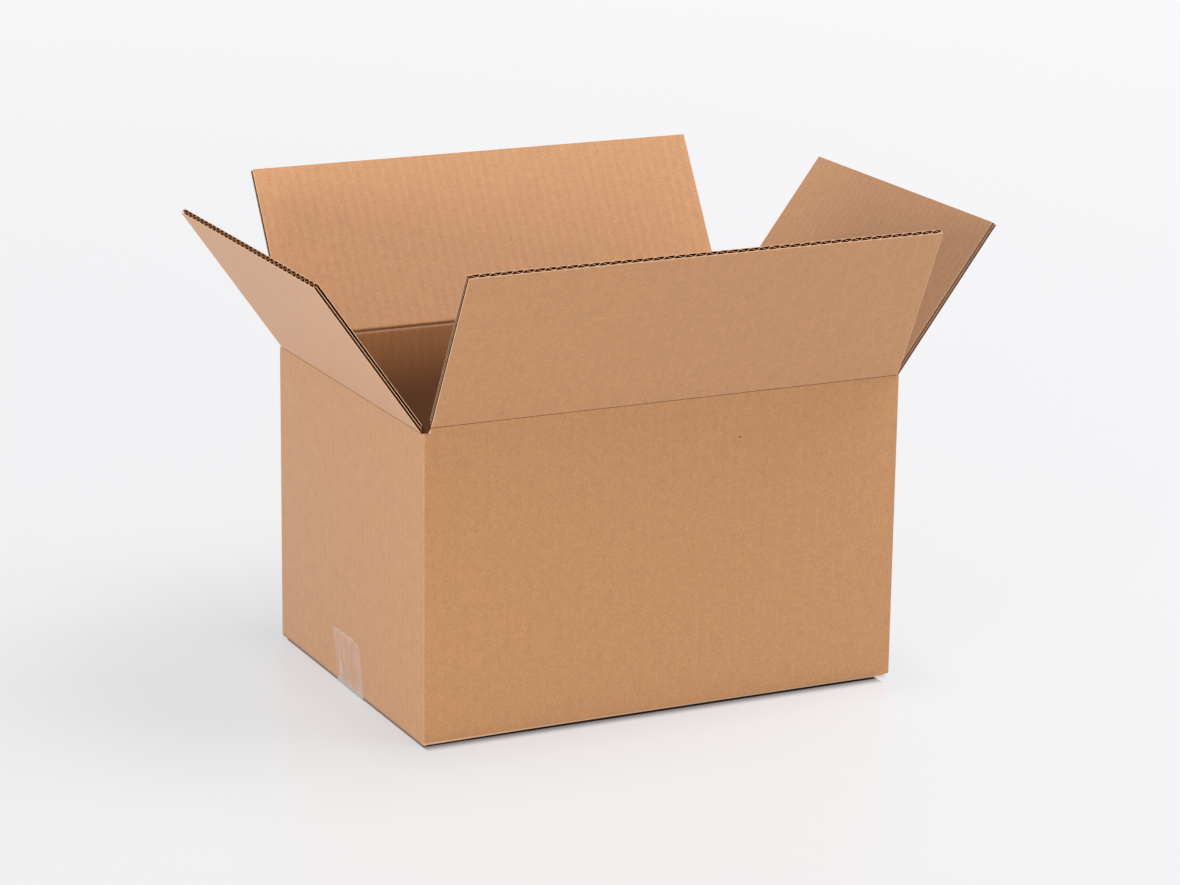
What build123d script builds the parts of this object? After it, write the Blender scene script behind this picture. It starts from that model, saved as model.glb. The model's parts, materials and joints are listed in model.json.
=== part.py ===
from build123d import *
from math import cos, pi, radians, tan
import os

os.makedirs("parts", exist_ok=True)

# Open slotted carton, folded from one sheet of single-wall corrugated board.
# +X runs along the front wall, +Y from the front wall to the back wall, +Z up.
# The origin is the middle of the base, on the floor. Lengths are in millimetres, angles in degrees.

# Outside of the folded box
length = 364.0
width = 262.0
score_height = 224.4  # floor to the scores of the long top flaps
board = 4.0
fold_radius = 3.0  # outside of the upright folds and of the long bottom folds
seam_gap = 2.0  # between the free edges of two long flaps that meet

# Corrugated section: two flat liners and the wavy medium between them
flute_pitch = 7.82
liner = 0.35
medium = 0.3
glue_share = 0.42  # of a pitch, from the middle of a channel to where the glue closes it
wave_shares = (0.3, 0.15, 0.0, -0.15, -0.3)  # of a pitch, the points across a channel's curved side
phase_share = 0.25  # of a pitch, from a side cut through the middle of the medium to the next crest

# Slots and scores
long_side_play = 1.2  # from the inner face of an end wall to the side cut of a long flap
short_side_play = 0.8  # from the inner face of a long wall to the side cut of a short flap
flap_clearance = 0.3  # between the closed short flaps and the long flaps over them
hinge_gap = 0.2  # from a score to the edges of the wall and of the flap
slot_drop = 0.5  # of the top slots, below the scores of the short flaps
score_band = 5.0  # beside a score, where the flutes are pressed shut

# Bottom closure: short flaps inside, long flaps outside
layer_gap = 0.3  # between the two layers of flaps
end_lift = 1.5  # floor to the lower edge of the end walls
end_edge_radius = 1.2

# Glued joint at the back right corner
tab_width = 35.0
tab_thickness = 3.0  # pressed thinner than the board
tab_taper = 12.0
tab_end_play = 2.0
joint_step = 2.0  # from the back wall's face to the cut edge of the right wall

# Clear tape along the bottom seam and up both end walls
tape_width = 48.0
tape_thickness = 0.1
tape_climb = 40.0  # floor to the ends of the tape
tape_offset = 2.0  # from the seam to the middle of the tape
tape_toe_radius = 1.0
tape_side_play = 0.2
tape_rise_angle = 60.0  # from upright, where the tape leaves the floor for the end wall

# Lean of the open flaps, outwards from upright
front_lean_angle = 27.9
back_lean_angle = 31.8
left_lean_angle = 35.5
right_lean_angle = 36.7

cut_overrun = 1.0

flap_depth = (width - seam_gap) / 2
long_flap_width = length - 2 * (board + long_side_play)
short_flap_width = width - 2 * (board + short_side_play)
short_score = score_height - board - flap_clearance
short_flap_level = board + layer_gap
inside_floor = short_flap_level + board

# Turn about Z that takes the front side of the box to each side
front, right, back, left = 0, 90, 180, 270


def on_side(turn, shape):
    """Moves a shape that is drawn with its outer face at y = 0, +Y inwards, to one side of the box."""
    reach = width / 2 if turn in (front, back) else length / 2
    return Rot(Z=turn) * Pos(Y=-reach) * shape


def run_along(points, run):
    """A solid with a constant section: points are (inwards, up), and run is its length along the wall."""
    section = Plane.YZ * make_face(Polyline(*points, close=True))
    return extrude(section, run / 2, both=True)


def flute_channels(flap_width):
    """The open channels of the board, on both sides of a cosine-shaped medium, from the free edge inwards."""
    waves = round(flap_width / flute_pitch)
    pitch = flap_width / waves
    swing = (board - medium) / 2 - liner
    mouth = glue_share * pitch
    curved_side = [
        (share * pitch, (board + medium) / 2 - swing * cos(2 * pi * share)) for share in wave_shares
    ]
    inner = make_face(Polyline((-mouth, board - liner), (mouth, board - liner), *curved_side, close=True))
    outer = Pos(Y=board) * mirror(inner, Plane.XZ)
    first_crest = phase_share * pitch - flap_width / 2
    sections = []
    for wave in range(waves + 1):
        crest = first_crest + wave * pitch
        sections += [Pos(X=crest) * outer, Pos(X=crest - pitch / 2) * inner]
    return [extrude(Pos(Z=score_band) * section, flap_depth + cut_overrun - score_band) for section in sections]


def top_flap(flap_width, turn, score, lean):
    """One open flap: its edge at the score is mitred, so that it can fold in square onto the wall."""
    plate = run_along(
        [
            (0, hinge_gap),
            (board, hinge_gap + board),
            (board, flap_depth),
            (0, flap_depth),
        ],
        flap_width,
    )
    fluted = plate - flute_channels(flap_width)
    return on_side(turn, Pos(Z=score) * Rot(X=lean) * fluted)


def above_score(flap_width, score):
    """What is cleared off a wall above its mitred edge, between the slots."""
    edge = score - hinge_gap
    ceiling = score_height + cut_overrun
    return run_along(
        [
            (-cut_overrun, edge + cut_overrun),
            (board + cut_overrun, edge - board - cut_overrun),
            (board + cut_overrun, ceiling),
            (-cut_overrun, ceiling),
        ],
        flap_width,
    )


def bottom_flap(flap_width, level):
    """One bottom flap with the foot of its wall, folded in square."""
    foot = inside_floor + board
    return run_along(
        [
            (0, level),
            (flap_depth, level),
            (flap_depth, level + board),
            (board, level + board),
            (board, foot),
            (0, foot),
        ],
        flap_width,
    )


def box_body():
    """Walls, bottom flaps and glued joint of the folded sheet, up to the scores of the top flaps."""
    ring = RectangleRounded(length, width, fold_radius)
    ring -= Rectangle(length - 2 * board, width - 2 * board)
    walls = extrude(Pos(Z=end_lift) * ring, score_height - end_lift)
    lower_rim = walls.faces().sort_by(Axis.Z)[0].outer_wire().edges()
    body = fillet(lower_rim, end_edge_radius)

    long_flap = bottom_flap(long_flap_width, 0)
    fold = long_flap.edges().filter_by(Axis.X).group_by(Axis.Z)[0].sort_by(Axis.Y)[0]
    long_flap = fillet(fold, fold_radius)
    short_flap = bottom_flap(short_flap_width, short_flap_level)
    for turn in (front, back):
        body += on_side(turn, long_flap)
        body -= on_side(turn, above_score(long_flap_width, score_height))
    for turn in (left, right):
        body += on_side(turn, short_flap)
        body -= on_side(turn, above_score(short_flap_width, short_score))

    slot_floor = short_score - slot_drop
    slot = Box(
        2 * (board + long_side_play),
        2 * (board + short_side_play),
        score_height + cut_overrun - slot_floor,
        align=(Align.CENTER, Align.CENTER, Align.MIN),
    )
    for x in (-length / 2, length / 2):
        for y in (-width / 2, width / 2):
            body -= Pos(x, y, slot_floor) * slot

    tab_top = short_score - board - tab_end_play
    tab_bottom = inside_floor + tab_end_play
    tab = run_along(
        [
            (0, tab_bottom),
            (tab_width, tab_bottom + tab_taper),
            (tab_width, tab_top - tab_taper),
            (0, tab_top),
        ],
        tab_thickness,
    )
    body += Pos(length / 2 - board - tab_thickness / 2, width / 2 - board) * Rot(Z=180) * tab
    joint = Box(2 * board, 2 * joint_step, 2 * score_height)
    body -= Pos(length / 2, width / 2) * joint

    recess = Box(length, tape_width + 2 * tape_side_play, 2 * tape_thickness)
    return body - Pos(Y=tape_offset) * recess


def bottom_tape():
    """One strip of film, flush under the seam, that slopes up past both ends of the long flaps."""
    rise = radians(tape_rise_angle)
    bend = end_lift + end_edge_radius * (1 - tan(rise / 2))
    toe = length / 2 - (bend - tape_thickness) * tan(rise)
    glued_side = FilletPolyline(
        (-length / 2, tape_climb),
        (-length / 2, bend),
        (-toe, tape_thickness),
        (toe, tape_thickness),
        (length / 2, bend),
        (length / 2, tape_climb),
        radius=[end_edge_radius, tape_toe_radius, tape_toe_radius, end_edge_radius],
    )
    section = make_face(offset(glued_side, tape_thickness, side=Side.RIGHT))
    return Pos(Y=tape_offset) * extrude(Plane.XZ * section, tape_width / 2, both=True)


pieces = {
    "box_body": box_body(),
    "front_flap": top_flap(long_flap_width, front, score_height, front_lean_angle),
    "back_flap": top_flap(long_flap_width, back, score_height, back_lean_angle),
    "left_flap": top_flap(short_flap_width, left, short_score, left_lean_angle),
    "right_flap": top_flap(short_flap_width, right, short_score, right_lean_angle),
    "bottom_tape": bottom_tape(),
}
for name, piece in pieces.items():
    export_step(piece, f"parts/{name}.step")
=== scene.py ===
import json
import math

import bmesh
import bpy
from mathutils import Matrix, Vector, noise


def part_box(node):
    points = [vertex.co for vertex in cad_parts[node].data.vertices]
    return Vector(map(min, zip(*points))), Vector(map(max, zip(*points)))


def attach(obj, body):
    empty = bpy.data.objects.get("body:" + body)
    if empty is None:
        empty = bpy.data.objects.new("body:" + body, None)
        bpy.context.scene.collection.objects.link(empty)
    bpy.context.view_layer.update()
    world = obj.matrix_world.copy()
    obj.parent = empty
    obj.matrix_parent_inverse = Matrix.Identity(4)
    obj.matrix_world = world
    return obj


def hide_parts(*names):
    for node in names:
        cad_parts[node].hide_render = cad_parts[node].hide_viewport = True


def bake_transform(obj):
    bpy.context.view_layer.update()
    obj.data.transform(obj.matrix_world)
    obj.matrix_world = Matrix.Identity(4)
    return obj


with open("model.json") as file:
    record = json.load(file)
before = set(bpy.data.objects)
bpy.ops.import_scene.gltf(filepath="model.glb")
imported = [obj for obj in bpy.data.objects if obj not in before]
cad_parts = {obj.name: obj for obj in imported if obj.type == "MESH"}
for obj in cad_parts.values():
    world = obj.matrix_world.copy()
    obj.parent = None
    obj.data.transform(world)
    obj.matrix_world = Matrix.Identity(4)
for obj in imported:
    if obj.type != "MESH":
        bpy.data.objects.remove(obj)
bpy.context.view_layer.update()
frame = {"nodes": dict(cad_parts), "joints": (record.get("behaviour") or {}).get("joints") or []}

# Folded sheet: walls and bottom
# One sheet of single-wall kraft board, folded to four walls and glued at the back right corner.
# The short bottom flaps lie inside and the long ones outside, so their cut edges show on the inside.

board = 0.004
liner = 0.00035
medium = 0.0004
flute_pitch = 0.00782
flute_steps = 12  # mesh steps along one wave of the medium
seam_half_gap = 0.001
flute_bore = 0.012  # how far the open flutes of a bottom flap are seen into
fold_radius = 0.003
fold_lift = 0.0015  # of the lower folds, because the bottom sags a little towards its seam
fold_crease = 0.4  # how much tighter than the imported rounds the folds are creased
foot_pale_top = 0.0034  # height up to which the creased lower folds are painted pale: partly scuffing, partly a painted highlight
rim_top = 0.003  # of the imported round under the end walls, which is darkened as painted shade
rim_depth = 0.002
rim_start = 0.005  # from the corner to the ends of the long bottom flaps
left_settle = 0.001  # the left wall stands lower than the right one
right_lift = 0.0016  # of the front right corner, which is bent up a little
hinge_gap = 0.0002  # from a score to the edges of the wall and of the flap
flush_corner = 0.0055  # the front wall has no slot at its right end, and runs up to the score there
hair = 0.0003  # a small play, and the slack of tests on places
merge_reach = 1e-6
flat_angle = math.radians(0.5)
crisp_angle = math.radians(30)
part_turned = 0.7  # shares of a face's normal along an axis, which tell where the face looks
facing = 0.9
square_on = 0.999
wall_cuts = 4  # places in the walls' list of materials
wall_flutes = 5

body_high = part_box("box_body")[1]
half_length, half_width = body_high.x, body_high.y
flap_depth = half_width - seam_half_gap
hinges = {joint["child"]: joint for joint in frame["joints"]}
long_score = hinges["back_flap"]["pos_m"][2]

kraft_dark = (0.365, 0.170, 0.062)
kraft_pale = (0.635, 0.306, 0.1225)
cut_colour = (0.80, 0.50, 0.31)
# flute_colour: the flute paper, darkened past its own tone as painted shade in the flutes; also the colour
# of painted shade in grooves, and of the dirt speck
flute_colour = (0.125, 0.036, 0.009)
painted_shade_colour = (0.196, 0.086, 0.034)  # painted shade: deep inside the box below the score, and on the lower round of the end walls
# how far below the score, and how fully, the inner liners darken with painted shade
inner_fade = 0.054
inner_share = 0.95
outer_sheen = 0.24
inner_sheen = 0.10
inside_bars = 0.05  # how strongly the flutes show through a liner's inner face
cloud_scale = 130.0  # scales are in cells to the metre, and shares say how strongly each pattern shows
cloud_share = 0.32
pulp_scale = 520.0
pulp_share = 0.8
fibre_scale = (1400.0, 1400.0, 500.0)
fibre_share = 0.6
speck_scale = 800.0
speck_range = (0.735, 0.80)
speck_share = 0.35
scuff_scale = 170.0
scuff_range = (0.40, 0.70)
scuff_share = 0.05
# share of the pale on the lower folds, partly scuffing and partly a painted highlight
foot_share = 0.8
rim_shade_share = 0.85
groove_shade_share = 0.85
ink_spot = (0.0561, -0.131, 0.1927)  # a speck of dirt on the front wall
ink_radius = (0.0006, 0.0012)
ink_share = 0.8
kraft_roughness = 0.48
pulp_roughness = 0.16
flute_relief = 8.0
pulp_relief = 0.35
fibre_relief = 0.3
relief_strength = 0.3
relief_height = 0.0001
raw_roughness = 0.9
raw_scale = 900.0
raw_range = (0.3, 0.7)


class Shade:
    """A socket in a material's node tree, so that patterns can be written as sums and products."""

    def __init__(self, tree, socket):
        self.tree = tree
        self.socket = socket

    def node(self, kind, inputs=None, out=0, **settings):
        """Adds any node: its settings first, then the values or links of its sockets."""
        made = self.tree.nodes.new(kind)
        for key, value in settings.items():
            setattr(made, key, value)
        for key, value in (inputs or {}).items():
            self.feed(made.inputs[key], value)
        return Shade(self.tree, made.outputs[out])

    def feed(self, socket, value):
        """Links a shade to a socket, or sets the socket's own value."""
        if isinstance(value, Shade):
            self.tree.links.new(value.socket, socket)
        elif hasattr(socket.default_value, "__len__") and len(value) < len(socket.default_value):
            socket.default_value = (*value, 1)
        else:
            socket.default_value = value

    def maths(self, operation, first, second=0.0):
        return self.node("ShaderNodeMath", {0: first, 1: second}, operation=operation)

    def __add__(self, other):
        return self.maths("ADD", self, other)

    def __sub__(self, other):
        return self.maths("SUBTRACT", self, other)

    def __rsub__(self, other):
        return self.maths("SUBTRACT", other, self)

    def __mul__(self, other):
        return self.maths("MULTIPLY", self, other)

    def __pow__(self, other):
        return self.maths("POWER", self, other)

    def __abs__(self):
        return self.maths("ABSOLUTE", self)

    __radd__ = __add__
    __rmul__ = __mul__

    def sine(self):
        return self.maths("SINE", self)

    def part(self, index):
        """One axis of a place: 0, 1 and 2 are x, y and z."""
        return self.node("ShaderNodeSeparateXYZ", {0: self}, out=index)

    def step(self, low, high):
        """A smooth step from 0 at low to 1 at high."""
        return self.node("ShaderNodeMapRange", {0: self, 1: low, 2: high}, interpolation_type="SMOOTHSTEP")

    def attribute(self, name):
        """A value that the mesh carries on its vertices."""
        return self.node("ShaderNodeAttribute", out=2, attribute_name=name)

    def noise(self, scale, detail=2.0, roughness=0.5):
        """Cloudy noise over a place, from 0 to 1, with scale in cells to the metre."""
        return self.node(
            "ShaderNodeTexNoise", {"Vector": self, "Scale": scale, "Detail": detail, "Roughness": roughness}
        )

    def stretched(self, scale):
        """A place with each axis scaled, so that a pattern on it runs in streaks."""
        return self.node("ShaderNodeVectorMath", {0: self, 1: scale}, operation="MULTIPLY")

    def distance(self, point):
        return self.node("ShaderNodeVectorMath", {0: self, 1: point}, out=1, operation="DISTANCE")

    def mix(self, first, second):
        """A colour between two others, by this shade's share of the second."""
        return self.node("ShaderNodeMix", {0: self, 6: first, 7: second}, out=2, data_type="RGBA")


def new_material(name):
    """A material, its main shader and the object's own coordinates in it."""
    material = bpy.data.materials.new(name)
    material.use_nodes = True
    tree = material.node_tree
    shader = tree.nodes["Principled BSDF"]
    place = Shade(tree, tree.nodes.new("ShaderNodeTexCoord").outputs["Object"])
    return material, shader, place


def kraft_liner(name, across, bars, deep, sheen):
    """Brown liner: cloudy pulp, fibres and specks, with the flutes showing through as faint bars; painted
    shade inside, on the end walls' lower round and in grooves, and pale scuffing with a painted highlight on
    the lower folds.
    """
    material, shader, place = new_material(name)
    flutes = (place.part(across) * (2 * math.pi / flute_pitch)).sine()
    clouds = place.noise(cloud_scale)
    pulp = place.noise(pulp_scale, detail=3.0, roughness=0.6)
    fibres = place.stretched(fibre_scale).noise(1.0, roughness=0.6)
    tone = 0.5 + (clouds - 0.5) * cloud_share + (pulp - 0.5) * pulp_share
    tone = tone + (fibres - 0.5) * fibre_share + flutes * bars
    colour = tone.mix(kraft_dark, kraft_pale)
    # Painted shade: below the score the liner darkens with depth, as shade falls inside the box.
    shadow = place.part(2).step(long_score + board, long_score - inner_fade)
    colour = (shadow * deep).mix(colour, painted_shade_colour)
    specks = place.noise(speck_scale, detail=1.0).step(*speck_range)
    colour = (specks * speck_share).mix(colour, kraft_dark)
    corner = abs(place.part(0)).step(half_length - fold_radius, half_length)
    corner = corner * abs(place.part(1)).step(half_width - fold_radius, half_width)
    scuffs = place.noise(scuff_scale, detail=3.0, roughness=0.7).step(*scuff_range)
    colour = (corner * scuffs * scuff_share).mix(colour, cut_colour)
    # Partly scuffing, partly a painted highlight: the lower folds of the front and back walls are pale.
    foot = abs(place.part(1)).step(half_width - fold_radius, half_width - hair)
    foot = foot * (1.0 - place.part(2).step(foot_pale_top - fold_lift, foot_pale_top))
    colour = (foot * foot_share).mix(colour, cut_colour)
    # Painted shade: the lower round of the end walls is darkened, where it faces down to the floor.
    rim = abs(place.part(0)).step(half_length - rim_depth, half_length - hair)
    rim = rim * (1.0 - place.part(2).step(rim_depth / 2, rim_top))
    colour = (rim * rim_shade_share).mix(colour, painted_shade_colour)
    # Painted shade: where a mesh carries the groove value, at the scores and the right flap's side cut, the
    # liner darkens.
    colour = (place.attribute("groove") * groove_shade_share).mix(colour, flute_colour)
    spot = 1.0 - place.distance(ink_spot).step(*ink_radius)
    colour = (spot * ink_share).mix(colour, flute_colour)
    place.feed(shader.inputs["Base Color"], colour)
    place.feed(shader.inputs["Roughness"], kraft_roughness + pulp * pulp_roughness)
    shader.inputs["Sheen Weight"].default_value = sheen
    height = flutes * bars * flute_relief + pulp * pulp_relief + fibres * fibre_relief
    bump = place.node(
        "ShaderNodeBump", {"Strength": relief_strength, "Distance": relief_height, "Height": height}
    )
    place.feed(shader.inputs["Normal"], bump)
    return material


def raw_paper(name, colour, shade):
    """Raw paper at a cut edge or inside the flutes, rough and unevenly toned."""
    material, shader, place = new_material(name)
    shader.inputs["Roughness"].default_value = raw_roughness
    shader.inputs["Specular IOR Level"].default_value = 0.0
    tone = place.noise(raw_scale, detail=3.0, roughness=0.6).step(*raw_range)
    place.feed(shader.inputs["Base Color"], tone.mix([channel * shade for channel in colour], colour))
    return material


outer_liners = [
    kraft_liner("kraft_front_back", across=0, bars=0.014, deep=0.0, sheen=outer_sheen),
    kraft_liner("kraft_ends", across=1, bars=0.035, deep=0.0, sheen=outer_sheen),
]
# The inner liners of the walls carry the painted shade inside the box.
inner_liners = [
    kraft_liner("kraft_front_back_inside", across=0, bars=inside_bars, deep=inner_share, sheen=inner_sheen),
    kraft_liner("kraft_ends_inside", across=1, bars=inside_bars, deep=inner_share, sheen=inner_sheen),
]
cut_edge = raw_paper("kraft_cut_edge", cut_colour, shade=0.8)
# painted shade: the paper inside the flutes is darkened
flute_paper = raw_paper("kraft_flutes", flute_colour, shade=0.6)


def finish_piece(name, bm, materials):
    """Turns a finished bmesh into an object at the origin."""
    mesh = bpy.data.meshes.new(name)
    bm.to_mesh(mesh)
    bm.free()
    for material in materials:
        mesh.materials.append(material)
    piece = bpy.data.objects.new(name, mesh)
    bpy.context.collection.objects.link(piece)
    return piece


def add_medium(bm, width, low, high, mitre, matrix, edge_index, paper_index):
    """The wavy paper between two liners: x runs across the flutes, y through the board, z along them."""
    waves = round(width / flute_pitch)
    swing = (board - medium) / 2 - liner
    size = Matrix.Diagonal((width, high - low, 1, 1))
    upright = Matrix.Rotation(math.pi / 2, 4, "X")
    place = Matrix.Translation((0, board / 2, (low + high) / 2)) @ upright @ size
    grid = bmesh.ops.create_grid(bm, x_segments=waves * flute_steps, y_segments=1, size=0.5, matrix=place)
    sheet = grid["verts"]
    for vert in sheet:
        vert.co.y += swing * math.sin(2 * math.pi * waves * (vert.co.x / width + 0.5)) - medium / 2
    faces = list({face for vert in sheet for face in vert.link_faces})
    shell = bmesh.ops.solidify(bm, geom=faces, thickness=medium)["geom"]
    verts = {vert for item in shell if isinstance(item, bmesh.types.BMFace) for vert in item.verts}
    verts.update(sheet)
    for vert in verts:
        if mitre and vert.co.z < (low + high) / 2:
            vert.co.z = low + vert.co.y
    bm.normal_update()
    for face in {face for vert in verts for face in vert.link_faces}:
        at_side = all(abs(vert.co.x) > width / 2 - hair for vert in face.verts)
        at_cut = abs(face.normal.z) > 0.5 or at_side
        face.material_index = edge_index if at_cut else paper_index
        face.smooth = not at_cut
    bmesh.ops.transform(bm, matrix=matrix, verts=list(verts))


def box_walls():
    """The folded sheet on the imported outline, with its cut edges opened to show the flutes."""
    bm = bmesh.new()
    bm.from_mesh(frame["nodes"]["box_body"].data)
    bmesh.ops.remove_doubles(bm, verts=bm.verts, dist=merge_reach)
    bmesh.ops.dissolve_limit(bm, angle_limit=flat_angle, verts=bm.verts, edges=bm.edges)
    short_flap_end = half_length - flap_depth
    short_edges = []
    for face in bm.faces:
        normal, centre = face.normal, face.calc_center_median()
        on_end_wall = abs(normal.x) > part_turned
        on_short_flap = abs(normal.z) > facing and abs(centre.x) > short_flap_end and centre.z > board
        inside = normal.x * centre.x < -hair or normal.y * centre.y < -hair or normal.z > facing
        face.material_index = (1 if on_end_wall or on_short_flap else 0) + (2 if inside else 0)
        face.smooth = True
        outline = sum(edge.calc_length() for edge in face.edges)
        narrow = 2 * face.calc_area() / outline < board + hair
        if narrow and max(map(abs, normal)) > square_on:
            face.material_index = wall_cuts
        if on_end_wall and abs(abs(centre.x) - short_flap_end) < hair:
            short_edges.append(face)
    for edge in bm.edges:
        edge.smooth = edge.calc_face_angle() < crisp_angle
    for vert in bm.verts:
        at_fold = abs(vert.co.y) > half_width - fold_radius - hair
        at_rim = abs(vert.co.x) > half_length - rim_start and vert.co.z < rim_top
        if at_fold and abs(vert.co.x) > half_length - fold_radius - hair:
            for axis, reach in enumerate((half_length, half_width)):
                inset = (reach - abs(vert.co[axis])) * fold_crease
                vert.co[axis] = math.copysign(reach - inset, vert.co[axis])
        if at_fold and not at_rim and vert.co.z < fold_radius + hair:
            inset = (half_width - abs(vert.co.y)) * fold_crease
            vert.co.y = math.copysign(half_width - inset, vert.co.y)
            vert.co.z = vert.co.z * fold_crease + fold_lift
        elif at_rim and vert.co.x < 0:
            vert.co.z -= left_settle
        elif at_rim and vert.co.y < rim_start - half_width:
            vert.co.z += right_lift
        past_front = vert.co.y + half_width
        at_corner = vert.co.x > half_length - flush_corner and past_front < board + hair
        if at_corner and vert.co.z > long_score - 2 * board:
            vert.co.z = long_score - hinge_gap - past_front
    for face in short_edges:
        outward = face.normal.copy()
        level = min(vert.co.z for vert in face.verts)
        width = 2 * max(vert.co.y for vert in face.verts)
        bmesh.ops.inset_individual(bm, faces=[face], thickness=liner)
        bore = bmesh.ops.extrude_discrete_faces(bm, faces=[face])["faces"][0]
        bmesh.ops.translate(bm, vec=-outward * flute_bore, verts=bore.verts)
        for side in {near for vert in bore.verts for near in vert.link_faces}:
            side.material_index = wall_flutes
            side.smooth = False
        laid = Matrix.Rotation(-math.pi / 2, 4, "X")
        turned = Matrix.Rotation(math.copysign(math.pi / 2, outward.x), 4, "Z") @ laid
        matrix = Matrix.Translation((outward.x * short_flap_end, 0, level + board)) @ turned
        add_medium(bm, width - 2 * liner, -flute_bore, -liner, False, matrix, wall_cuts, wall_flutes)
    bmesh.ops.remove_doubles(bm, verts=bm.verts, dist=merge_reach)
    return finish_piece("box_walls", bm, [*outer_liners, *inner_liners, cut_edge, flute_paper])


walls = box_walls()
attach(walls, "box")
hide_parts("box_body")

# Four top flaps
# The open flaps are cut from the same sheet: two flat liners with the wavy medium glued between them.
# Their flutes run from the score to the free edge, where the cut leaves them open.

flush_end = 0.004  # how far the front flap's right end runs on along the score, where there is no slot
liner_edge = 0.00012  # soft edge of the cut liner
edge_wear = 0.0005  # pale rim along the cuts
side_depth = 0.0004  # of the right flap's near side cut, which runs along a flute and so looks closed
flap_sheen = 0.30
flap_outside = 0  # places in a flap's list of materials
flap_inside = 1
flap_cuts = 2
flap_flutes = 3

flap_insides = [
    kraft_liner("kraft_long_flaps_inside", across=0, bars=inside_bars, deep=0.0, sheen=flap_sheen),
    kraft_liner("kraft_short_flaps_inside", across=1, bars=inside_bars, deep=0.0, sheen=flap_sheen),
]


def flap_lean(joint):
    """How far the flap leans out at rest: at its lower limit it lies closed, a right angle past upright."""
    return math.radians(-joint["range_deg"][0] - 90)


def flap_matrix(joint, lean):
    """Places a flap that is drawn with x along its score, y inwards and z towards its free edge."""
    along = Vector(joint["axis"])
    inward = Vector((0, 0, 1)).cross(along)
    basis = Matrix((along, inward, (0, 0, 1))).transposed().to_4x4()
    return Matrix.Translation(joint["pos_m"]) @ Matrix.Rotation(lean, 4, along) @ basis


def flap_width(flap):
    """The flap's length along its score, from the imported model, less a hair so that it folds in freely."""
    low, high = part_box(flap)
    return abs(Vector(hinges[flap]["axis"]).dot(high - low)) - hair


def past_end(flap):
    """How far the flap runs on past its right end, at the score."""
    return flush_end if flap == "front_flap" else 0.0


def flute_axis(flap):
    """The axis that runs across the flap's flutes, along its score: 0 is x and 1 is y."""
    return 0 if abs(hinges[flap]["axis"][0]) > 0.5 else 1


def add_liner(bm, width, y_low, y_high):
    """A flat sheet of the board, whose lower end follows the mitre at the score."""
    middle = Vector((0, (y_low + y_high) / 2, flap_depth / 2))
    size = Matrix.Diagonal((width, y_high - y_low, flap_depth, 1))
    sheet = bmesh.ops.create_cube(bm, size=1, matrix=Matrix.Translation(middle) @ size)["verts"]
    for vert in sheet:
        if vert.co.z < middle.z:
            vert.co.z = hinge_gap + vert.co.y
    edges = {edge for vert in sheet for edge in vert.link_edges}
    cuts = [edge for edge in edges if max(vert.co.z for vert in edge.verts) > middle.z]
    bmesh.ops.bevel(
        bm,
        geom=cuts,
        offset=liner_edge,
        affect="EDGES",
        segments=1,
        profile=0.5,
        material=-1,
        clamp_overlap=True,
    )


def close_side(bm, width, groove):
    """The flank of the last flute behind a side cut, painted dark as shade, as the outer liner's edge at
    that cut is.
    """
    middle = Vector((side_depth - width / 2, board / 2, (flap_depth + board) / 2))
    size = Matrix.Diagonal((side_depth, board - 2 * liner, flap_depth - board - 2 * side_depth, 1))
    flank = bmesh.ops.create_cube(bm, size=1, matrix=Matrix.Translation(middle) @ size)["verts"]
    for vert in flank:
        vert[groove] = 1.0
    for face in {face for vert in flank for face in vert.link_faces}:
        face.material_index = flap_inside
    for face in bm.faces:
        at_cut = all(vert.co.x < hair - width / 2 for vert in face.verts)
        if at_cut and face.calc_center_median().y < liner:
            face.material_index = flap_flutes


def top_flap(flap):
    """One flap at the lean of the photograph: two liners, worn pale along their cuts, and the medium."""
    joint = hinges[flap]
    width = flap_width(flap)
    bm = bmesh.new()
    groove = bm.verts.layers.float.new("groove")
    add_liner(bm, width, 0, liner)
    add_liner(bm, width, board - liner, board)
    bm.normal_update()
    for face in bm.faces:
        inner = face.calc_center_median().y > board / 2
        outwards = face.normal.y if inner else -face.normal.y
        if outwards > facing:
            face.material_index = flap_inside if inner else flap_outside
        else:
            face.material_index = flap_flutes if outwards < -facing else flap_cuts
    shown = [face for face in bm.faces if face.material_index in (flap_outside, flap_inside)]
    for face in bmesh.ops.inset_individual(bm, faces=shown, thickness=edge_wear)["faces"]:
        centre = face.calc_center_median()
        at_score = centre.z < 2 * board
        inside_free_edge = centre.y > board / 2 and centre.z > flap_depth - 2 * edge_wear
        if not at_score and not inside_free_edge:
            face.material_index = flap_cuts
    add_medium(bm, width, hinge_gap, flap_depth, True, Matrix.Identity(4), flap_cuts, flap_flutes)
    if flap == "right_flap":
        close_side(bm, width, groove)
    for vert in bm.verts:
        stretch = max(0.0, 2 * vert.co.x / width) * (1 - vert.co.z / flap_depth)
        vert.co.x += past_end(flap) * stretch
    bmesh.ops.transform(bm, matrix=flap_matrix(joint, flap_lean(joint)), verts=bm.verts)
    bmesh.ops.recalc_face_normals(bm, faces=bm.faces)
    liners = [outer_liners[flute_axis(flap)], flap_insides[flute_axis(flap)]]
    piece = finish_piece(f"{flap}_board", bm, [*liners, cut_edge, flute_paper])
    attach(piece, flap)
    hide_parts(flap)


for flap in hinges:
    top_flap(flap)

# Scores of the top flaps
# Each flap hangs on a line where the board is pressed thin: the inner liner runs on over it unbroken, with a
# narrow groove.

groove_depth = 0.0009
groove_width = 0.0011
crushed_depth = 0.0029  # of the right flap's score, pressed flat where the front flap folds over it
crushed_width = 0.0028
groove_points = 17
groove_crowding = 1.8  # draws the points of the section towards the groove
score_angle = math.radians(50)
# Painted shade: the ends of the score strips are near black, as the crevice between wall and flap is in
# shade.
score_end_shade_colour = (0.07, 0.03, 0.012)

score_end = raw_paper("kraft_score_ends", score_end_shade_colour, shade=0.8)


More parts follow.
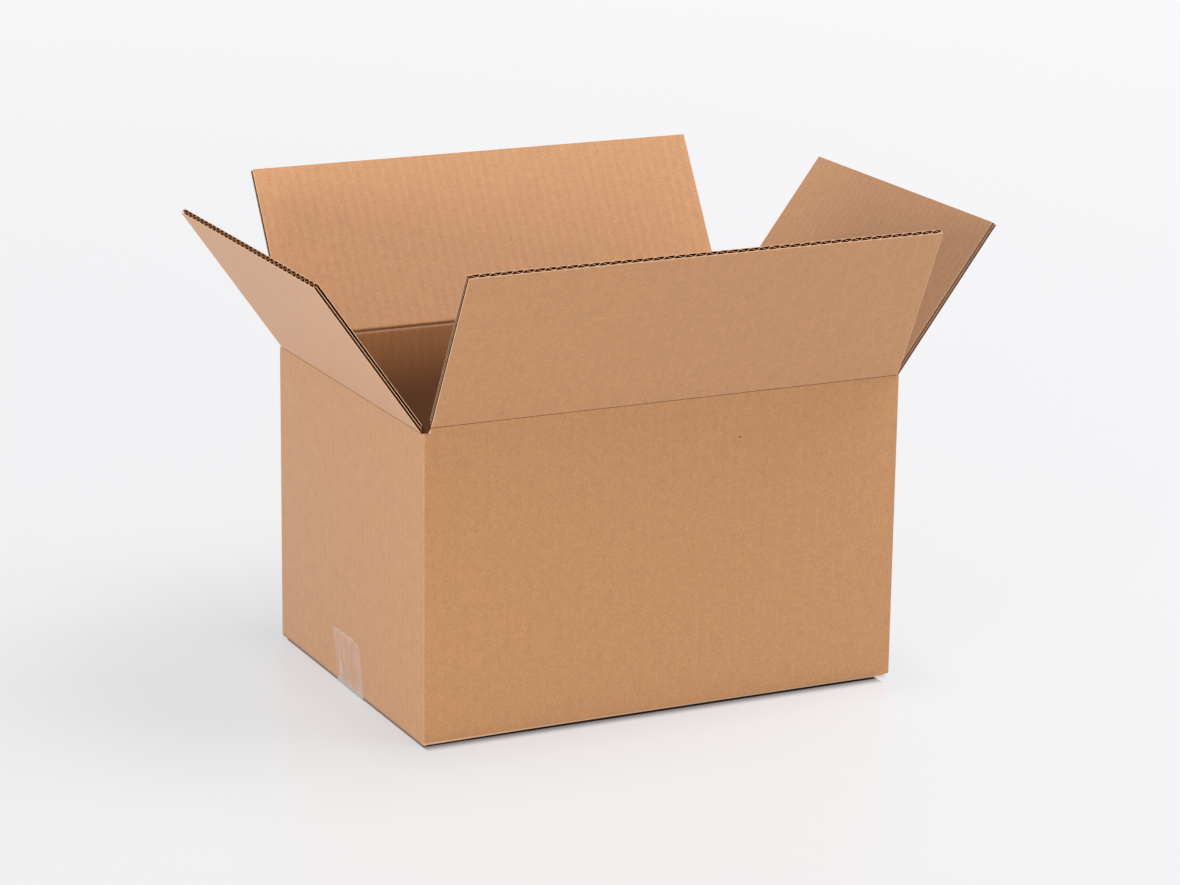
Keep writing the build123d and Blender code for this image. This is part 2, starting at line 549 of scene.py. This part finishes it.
def score_line(flap):
    """The pressed line between a wall and its flap, as a closed strip from the fold to the inner liner."""
    joint = hinges[flap]
    width = flap_width(flap)
    lean = flap_lean(joint)
    crushed = flap == "right_flap"
    pressed_depth = crushed_depth if crushed else groove_depth
    pressed_width = crushed_width if crushed else groove_width
    upright = flap_matrix(joint, 0)
    start = Vector((-width / 2, board, -hinge_gap - board))
    ridge = Vector((-width / 2, board, board * math.tan(lean / 2)))
    fold = Vector((-width / 2, hinge_gap, 0))
    end = Matrix.Rotation(lean, 3, "X") @ Vector((-width / 2, board, hinge_gap + board))
    bm = bmesh.new()
    # Painted shade: the groove value darkens the strip at its fold and along the pressed groove.
    crease_shade = bm.verts.layers.float.new("groove")
    section = [bm.verts.new(fold)]
    section[0][crease_shade] = 1.0
    for index in range(groove_points):
        share = 2 * index / (groove_points - 1) - 1
        side = start if share < 0 else end
        point = ridge.lerp(side, abs(share) ** groove_crowding)
        away = (point - ridge).length
        dip = pressed_depth * math.exp(-((away / pressed_width) ** 2))
        vert = bm.verts.new(point + (fold - ridge).normalized() * dip)
        vert[crease_shade] = math.exp(-((away / groove_width) ** 2))
        section.append(vert)
    bm.faces.new(section)
    run = bmesh.ops.extrude_face_region(bm, geom=bm.faces[:])["geom"]
    far_end = [item for item in run if isinstance(item, bmesh.types.BMVert)]
    bmesh.ops.translate(bm, vec=(width + past_end(flap), 0, 0), verts=far_end)
    bmesh.ops.transform(bm, matrix=upright, verts=bm.verts)
    bmesh.ops.recalc_face_normals(bm, faces=bm.faces)
    for face in bm.faces:
        face.smooth = len(face.verts) == 4
        face.material_index = 0 if face.smooth else 1
    for edge in bm.edges:
        edge.smooth = edge.calc_face_angle() < score_angle
    piece = finish_piece(f"{flap}_score", bm, [inner_liners[flute_axis(flap)], score_end])
    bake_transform(piece)


for flap in hinges:
    score_line(flap)

# Bottom tape
# One strip of clear packing tape, pressed along the bottom seam by hand and turned up on both end walls.
# It bridges the step under the end walls, wrinkles there, and its ends are torn on a toothed cutter.

film = 0.00008
film_lift = 0.00003
tape_tooth = 0.0016
tape_tooth_depth = 0.0011
tape_tear = 0.0022
tear_waves = 3.1
tear_seed = 4.2
tape_fray = 0.003  # of the torn ends, where the film has turned white
fray_share = 0.35
tape_rise = 0.006  # where the tape meets the end wall
tape_toe = 0.001  # how far the tape bulges past the end wall at the floor
tape_slant = 0.009  # of the tape's ends, which weren't stuck quite upright
slant_share = 0.6  # of the slant, that the tape has gained where it leaves the floor
tape_columns = 96
tape_rows = 300
wrinkles = ((-0.68, 0.030), (-0.56, 0.018), (0.35, 0.009))  # place across the tape, and height reached
wrinkle_height = 0.0006
wrinkle_width = 0.035
wrinkle_drift = 0.06
wrinkle_waves = 90.0
film_colour = (0.88, 0.86, 0.86)
film_ior = 1.49
film_roughness = 0.15
bubble_roughness = 0.2
bubble_scale = (60.0, 240.0, 60.0)
bubble_range = (0.42, 0.68)
streak_scale = (30.0, 900.0, 30.0)
streak_range = (0.52, 0.75)
clear_milk = 0.04  # how milky the film is where it lies flat, and what bubbles and the rest add to that
bubble_milk = 0.06
streak_milk = 0.09
ridge_milk = 0.42
loose_milk = 0.16
loose_start = 0.3  # of the rise, below which the film is not stuck to the wall
tape_low, tape_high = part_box("bottom_tape")
tape_half = (tape_high.y - tape_low.y) / 2
tape_middle = (tape_high.y + tape_low.y) / 2


def clear_film(name):
    """Thin clear film: nearly invisible, with a hard shine, and milky where air is caught under it."""
    material, shader, place = new_material(name)
    shader.inputs["Base Color"].default_value = (*film_colour, 1)
    shader.inputs["IOR"].default_value = film_ior
    bubbles = place.stretched(bubble_scale).noise(1.0, detail=3.0, roughness=0.6).step(*bubble_range)
    streaks = place.stretched(streak_scale).noise(1.0).step(*streak_range)
    loose = 1.0 - place.part(2).step(tape_rise * loose_start, tape_rise)
    milk = clear_milk + bubbles * bubble_milk + streaks * streak_milk
    milk = milk + place.attribute("wrinkle") * ridge_milk + loose * loose_milk
    place.feed(shader.inputs["Alpha"], milk)
    place.feed(shader.inputs["Roughness"], film_roughness + bubbles * bubble_roughness)
    return material


def tape_place(run, across):
    """A point of the film and how far it is wrinkled: run goes from end to end, across from -1 to 1."""
    slope = math.hypot(tape_toe, tape_rise)
    face = half_length + film / 2 + film_lift
    reach = face + tape_toe
    climb = tape_high.z - tape_rise
    side = math.copysign(1, run - 0.5)
    left = abs(run - 0.5) * 2 * (reach + slope + climb)
    lean = side * tape_slant * (slant_share * min(1.0, left / reach) - max(0.0, left - reach) / climb)
    y = tape_middle + across * tape_half + lean
    if left < reach:
        return Vector((side * left, y, film / 2 + film_lift)), 0.0
    if left < reach + slope:
        share = (left - reach) / slope
        return Vector((side * (reach - tape_toe * share), y, film / 2 + film_lift + tape_rise * share)), 0.0
    tooth = abs((across * tape_half / tape_tooth) % 1 - 0.5) * 2 * tape_tooth_depth
    torn = tooth + tape_tear * (0.5 + noise.noise(Vector((across * tear_waves, side, tear_seed))))
    z = film / 2 + film_lift + tape_rise + (left - reach - slope) / climb * (climb - torn - film)
    wrinkle = 0.0
    for middle, height in wrinkles:
        drift = side * middle + wrinkle_drift * noise.noise(Vector((z * wrinkle_waves, middle, side)))
        fade = max(0.0, 1 - z / height)
        wrinkle += fade * math.exp(-(((across - drift) / wrinkle_width) ** 2))
    fray = fray_share * max(0.0, 1 - (reach + slope + climb - left) / tape_fray)
    return Vector((side * (face + wrinkle_height * wrinkle), y, z)), max(wrinkle, fray)


def bottom_tape():
    """The strip as one thin sheet along its run, thickened at the end."""
    bm = bmesh.new()
    raised = bm.verts.layers.float.new("wrinkle")
    sheet = bmesh.ops.create_grid(bm, x_segments=tape_rows, y_segments=tape_columns, size=0.5)["verts"]
    for vert in sheet:
        vert.co, vert[raised] = tape_place(vert.co.x + 0.5, vert.co.y * 2)
    bmesh.ops.recalc_face_normals(bm, faces=bm.faces)
    for face in bm.faces:
        face.smooth = True
    piece = finish_piece("clear_tape_strip", bm, [clear_film("clear_tape_film")])
    thickness = piece.modifiers.new("film", "SOLIDIFY")
    thickness.thickness = film
    thickness.offset = 0
    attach(piece, "box")
    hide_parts("bottom_tape")


bottom_tape()

# Floor
# A plain pale sheet with a slight polish, lit from below as well, like a studio table, with shadow painted
# into its glow under and around the box.

floor_size = 40.0
floor_colour = (0.20, 0.20, 0.203)
# painted shade under the box: a dark floor colour and a dark brown glow, as of light bounced off the board
under_shade_colour = (0.03, 0.02, 0.015)
under_shade_glow = (0.006, 0.003, 0.002)
near_glow = (0.595, 0.60, 0.61)
far_glow = (0.705, 0.70, 0.712)
near_reach = 0.4
far_reach = 4.0
dark_reach = 0.011  # of the painted soft shadow line before and behind the box
lit_corner = 0.009  # at the two raised corners, where the glow is kept under the box as painted light getting in
# how far under the box the painted shade fades in, and how dark the painted shadow line is at the box's edge
under_fade = 0.002
dark_share = 0.18
end_share = 60.0  # how much narrower the soft line is past the end walls
# a wide, faint painted shadow around the box
halo_reach = 0.06
halo_share = 0.92
floor_roughness = 0.3
floor_shine = 0.2


def studio_floor():
    """A glowing sheet with painted shadow: dark under the box, in a soft line beside it and faintly around
    it, and painted lit under the two raised corners.
    """
    bm = bmesh.new()
    bmesh.ops.create_grid(bm, x_segments=1, y_segments=1, size=floor_size / 2)
    material, shader, place = new_material("pale_floor")
    away = place.distance((0, 0, 0)).step(near_reach, far_reach)
    past = [abs(place.part(0)) - half_length, abs(place.part(1)) - half_width]
    # Painted shadow: the glow is masked under the box, in a soft line along it and in a faint halo, but kept
    # under the raised corners.
    raised = (place.part(0) * place.part(1) * -1.0).step(0.0, lit_corner ** 2)
    corner = place.maths("MINIMUM", past[0] + lit_corner, past[1] + lit_corner)
    corner = raised * corner.step(-under_fade, 0.0)
    clear = place.maths("MAXIMUM", corner, place.maths("MAXIMUM", *past).step(-under_fade, 0.0))
    beside = place.maths("MAXIMUM", past[0] * end_share, past[1])
    edge = place.maths("MAXIMUM", corner, beside.step(0.0, dark_reach))
    outside = [place.maths("MAXIMUM", gap, 0.0) for gap in past]
    halo = ((outside[0] * outside[0] + outside[1] * outside[1]) ** 0.5).step(0.0, halo_reach)
    light = clear * (dark_share + edge * (1 - dark_share)) * (halo_share + halo * (1 - halo_share))
    place.feed(shader.inputs["Base Color"], clear.mix(under_shade_colour, floor_colour))
    place.feed(shader.inputs["Emission Color"], light.mix(under_shade_glow, away.mix(near_glow, far_glow)))
    shader.inputs["Emission Strength"].default_value = 1.0
    shader.inputs["Roughness"].default_value = floor_roughness
    shader.inputs["Specular IOR Level"].default_value = floor_shine
    floor = finish_piece("studio_floor", bm, [material])


studio_floor()

# Light
# White surroundings, one large soft lamp high on the right, and a weak low one on the left.

room_light = 0.5
room_colour = (1.0, 0.99, 1.0, 1)

world = bpy.data.worlds.new("studio")
world.use_nodes = True
sky = world.node_tree.nodes["Background"]
sky.inputs["Color"].default_value = room_colour
sky.inputs["Strength"].default_value = room_light
bpy.context.scene.world = world


def soft_lamp(name, towards, distance, size, power):
    """A square soft lamp that shines on the box from a direction, and is not itself in the picture."""
    data = bpy.data.lights.new(name, "AREA")
    data.energy = power
    data.size = size
    lamp = bpy.data.objects.new(name, data)
    towards = Vector(towards).normalized()
    lamp.location = towards * distance
    lamp.rotation_euler = (-towards).to_track_quat("-Z", "Y").to_euler()
    lamp.visible_camera = False
    bpy.context.collection.objects.link(lamp)


soft_lamp("high_lamp", towards=(0.38, -0.15, 0.91), distance=4.0, size=2.3, power=150.0)
soft_lamp("low_lamp", towards=(-0.83, -0.53, 0.12), distance=4.5, size=1.0, power=104.0)

# Camera
# The photograph's view, found from the edges of the box: angles in degrees, lengths in metres.

view_azimuth = -25.95
view_elevation = 15.65
view_roll = 0.75
view_distance = 2.7786
view_target = Vector((0.0046, 0.0, 0.1607))
photo_width = 1180
focal_pixels = 3874.7
sensor_width = 36.0

azimuth, elevation = math.radians(view_azimuth), math.radians(view_elevation)
level = Vector((math.sin(azimuth), -math.cos(azimuth), 0))
back = level * math.cos(elevation) + Vector((0, 0, math.sin(elevation)))
camera_data = bpy.data.cameras.new("camera")
camera_data.sensor_width = sensor_width
camera_data.lens = focal_pixels * sensor_width / photo_width
camera = bpy.data.objects.new("camera", camera_data)
aim = (-back).to_track_quat("-Z", "Y").to_matrix().to_4x4()
roll = Matrix.Rotation(math.radians(view_roll), 4, "Z")
camera.matrix_world = Matrix.Translation(view_target + back * view_distance) @ aim @ roll
bpy.context.collection.objects.link(camera)
bpy.context.scene.camera = camera
bpy.context.scene.view_settings.view_transform = "Standard"
